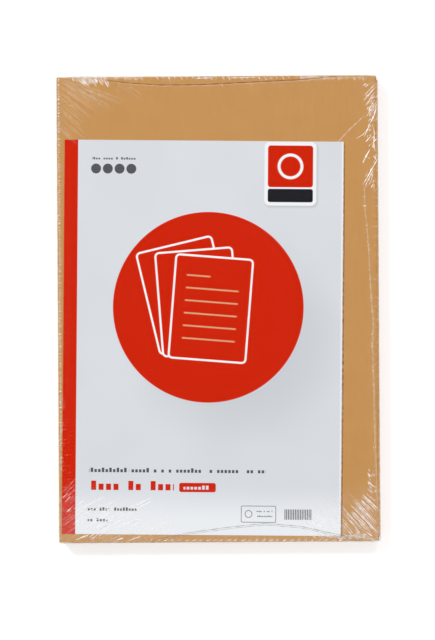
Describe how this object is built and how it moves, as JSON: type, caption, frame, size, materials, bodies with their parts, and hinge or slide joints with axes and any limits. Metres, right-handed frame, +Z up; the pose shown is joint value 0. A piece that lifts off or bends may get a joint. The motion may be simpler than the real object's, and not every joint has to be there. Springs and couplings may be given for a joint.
{
  "type": "file folder pack",
  "caption": "Wrapped pack of three-flap card file folders with a loose printed sheet; the top folder's cover and flaps open.",
  "frame": {"origin": "middle of the underside of the wrapped pack, which lies flat with its front cover up", "axes": "+X from the spine fold to the side fold, +Y from the foot to the head of the folder, +Z up out of the front cover"},
  "size_m": [0.2428, 0.352, 0.0191],
  "materials": {
    "chamois_card": "matte",
    "insert_paper": "satin",
    "clear_film": "gloss"
  },
  "bodies": {
    "pack_base": {"folder_02": "chamois_card", "folder_03": "chamois_card", "folder_04": "chamois_card", "folder_05": "chamois_card", "folder_06": "chamois_card", "folder_07": "chamois_card", "folder_08": "chamois_card", "folder_09": "chamois_card", "folder_10": "chamois_card", "back_panel": "chamois_card", "spine_crease": "chamois_card", "side_crease": "chamois_card", "top_crease": "chamois_card", "bottom_crease": "chamois_card", "film_back": "clear_film", "film_left_fold": "clear_film"},
    "cover": {"front_cover": "chamois_card", "insert_sheet": "insert_paper", "film_front": "clear_film", "top_seam": "clear_film", "right_seam": "clear_film", "bottom_seam": "clear_film"},
    "side_leaf": {"side_flap": "chamois_card"},
    "top_leaf": {"top_flap": "chamois_card"},
    "bottom_leaf": {"bottom_flap": "chamois_card"}
  },
  "joints": [
    {"name": "cover_open", "type": "hinge", "parent": "pack_base", "child": "cover", "pos_m": [-0.11989, 0, 0.01717], "axis": [0, -1, 0], "range_deg": [0, 180], "deforming": ["spine_crease", "film_left_fold"]},
    {"name": "side_flap_open", "type": "hinge", "parent": "pack_base", "child": "side_leaf", "pos_m": [0.12011, 0, 0.01695], "axis": [0, 1, 0], "range_deg": [0, 180], "deforming": ["side_crease"]},
    {"name": "top_flap_open", "type": "hinge", "parent": "pack_base", "child": "top_leaf", "pos_m": [0, 0.175, 0.01673], "axis": [-1, 0, 0], "range_deg": [0, 180], "deforming": ["top_crease"]},
    {"name": "bottom_flap_open", "type": "hinge", "parent": "pack_base", "child": "bottom_leaf", "pos_m": [0, -0.175, 0.01673], "axis": [1, 0, 0], "range_deg": [0, 180], "deforming": ["bottom_crease"]}
  ],
  "couplings": [
    {"joint": "side_flap_open", "follows": "cover_open", "ratio": 1},
    {"joint": "top_flap_open", "follows": "cover_open", "ratio": 1},
    {"joint": "bottom_flap_open", "follows": "cover_open", "ratio": 1}
  ]
}
